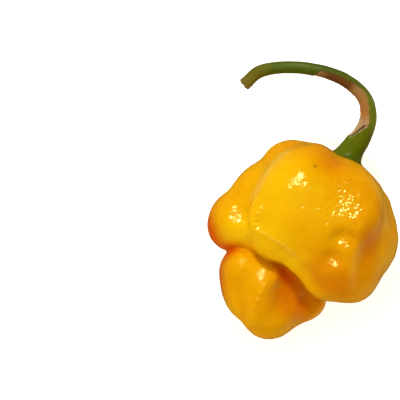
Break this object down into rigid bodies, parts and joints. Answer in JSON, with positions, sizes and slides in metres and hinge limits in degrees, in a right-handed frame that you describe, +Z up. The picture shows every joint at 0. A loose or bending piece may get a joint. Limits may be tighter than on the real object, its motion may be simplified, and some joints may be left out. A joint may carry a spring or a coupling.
{
  "type": "trinidad moruga scorpion pepper",
  "caption": "Ripe yellow hot pepper, lying on its side: a glossy lobed pod with a hood over a small tip bulb, and a hooked green stalk with its calyx.",
  "frame": {"origin": "a point inside the small flat spot on the pod's underside that the pepper rests on, on the surface", "axes": "+Z up from the surface, +Y from the pod's tip bulb towards the stalk's hook, +X to the right seen from above"},
  "size_m": [0.0421, 0.0614, 0.0341],
  "materials": {
    "pod_skin": "glossy waxy yellow skin, orange in its folds",
    "stalk": "green stalk, satin, with a dry brown scar on the inner side of its hook"
  },
  "bodies": {
    "root": {"pod": "pod_skin", "stem": "stalk"}
  },
  "joints": []
}
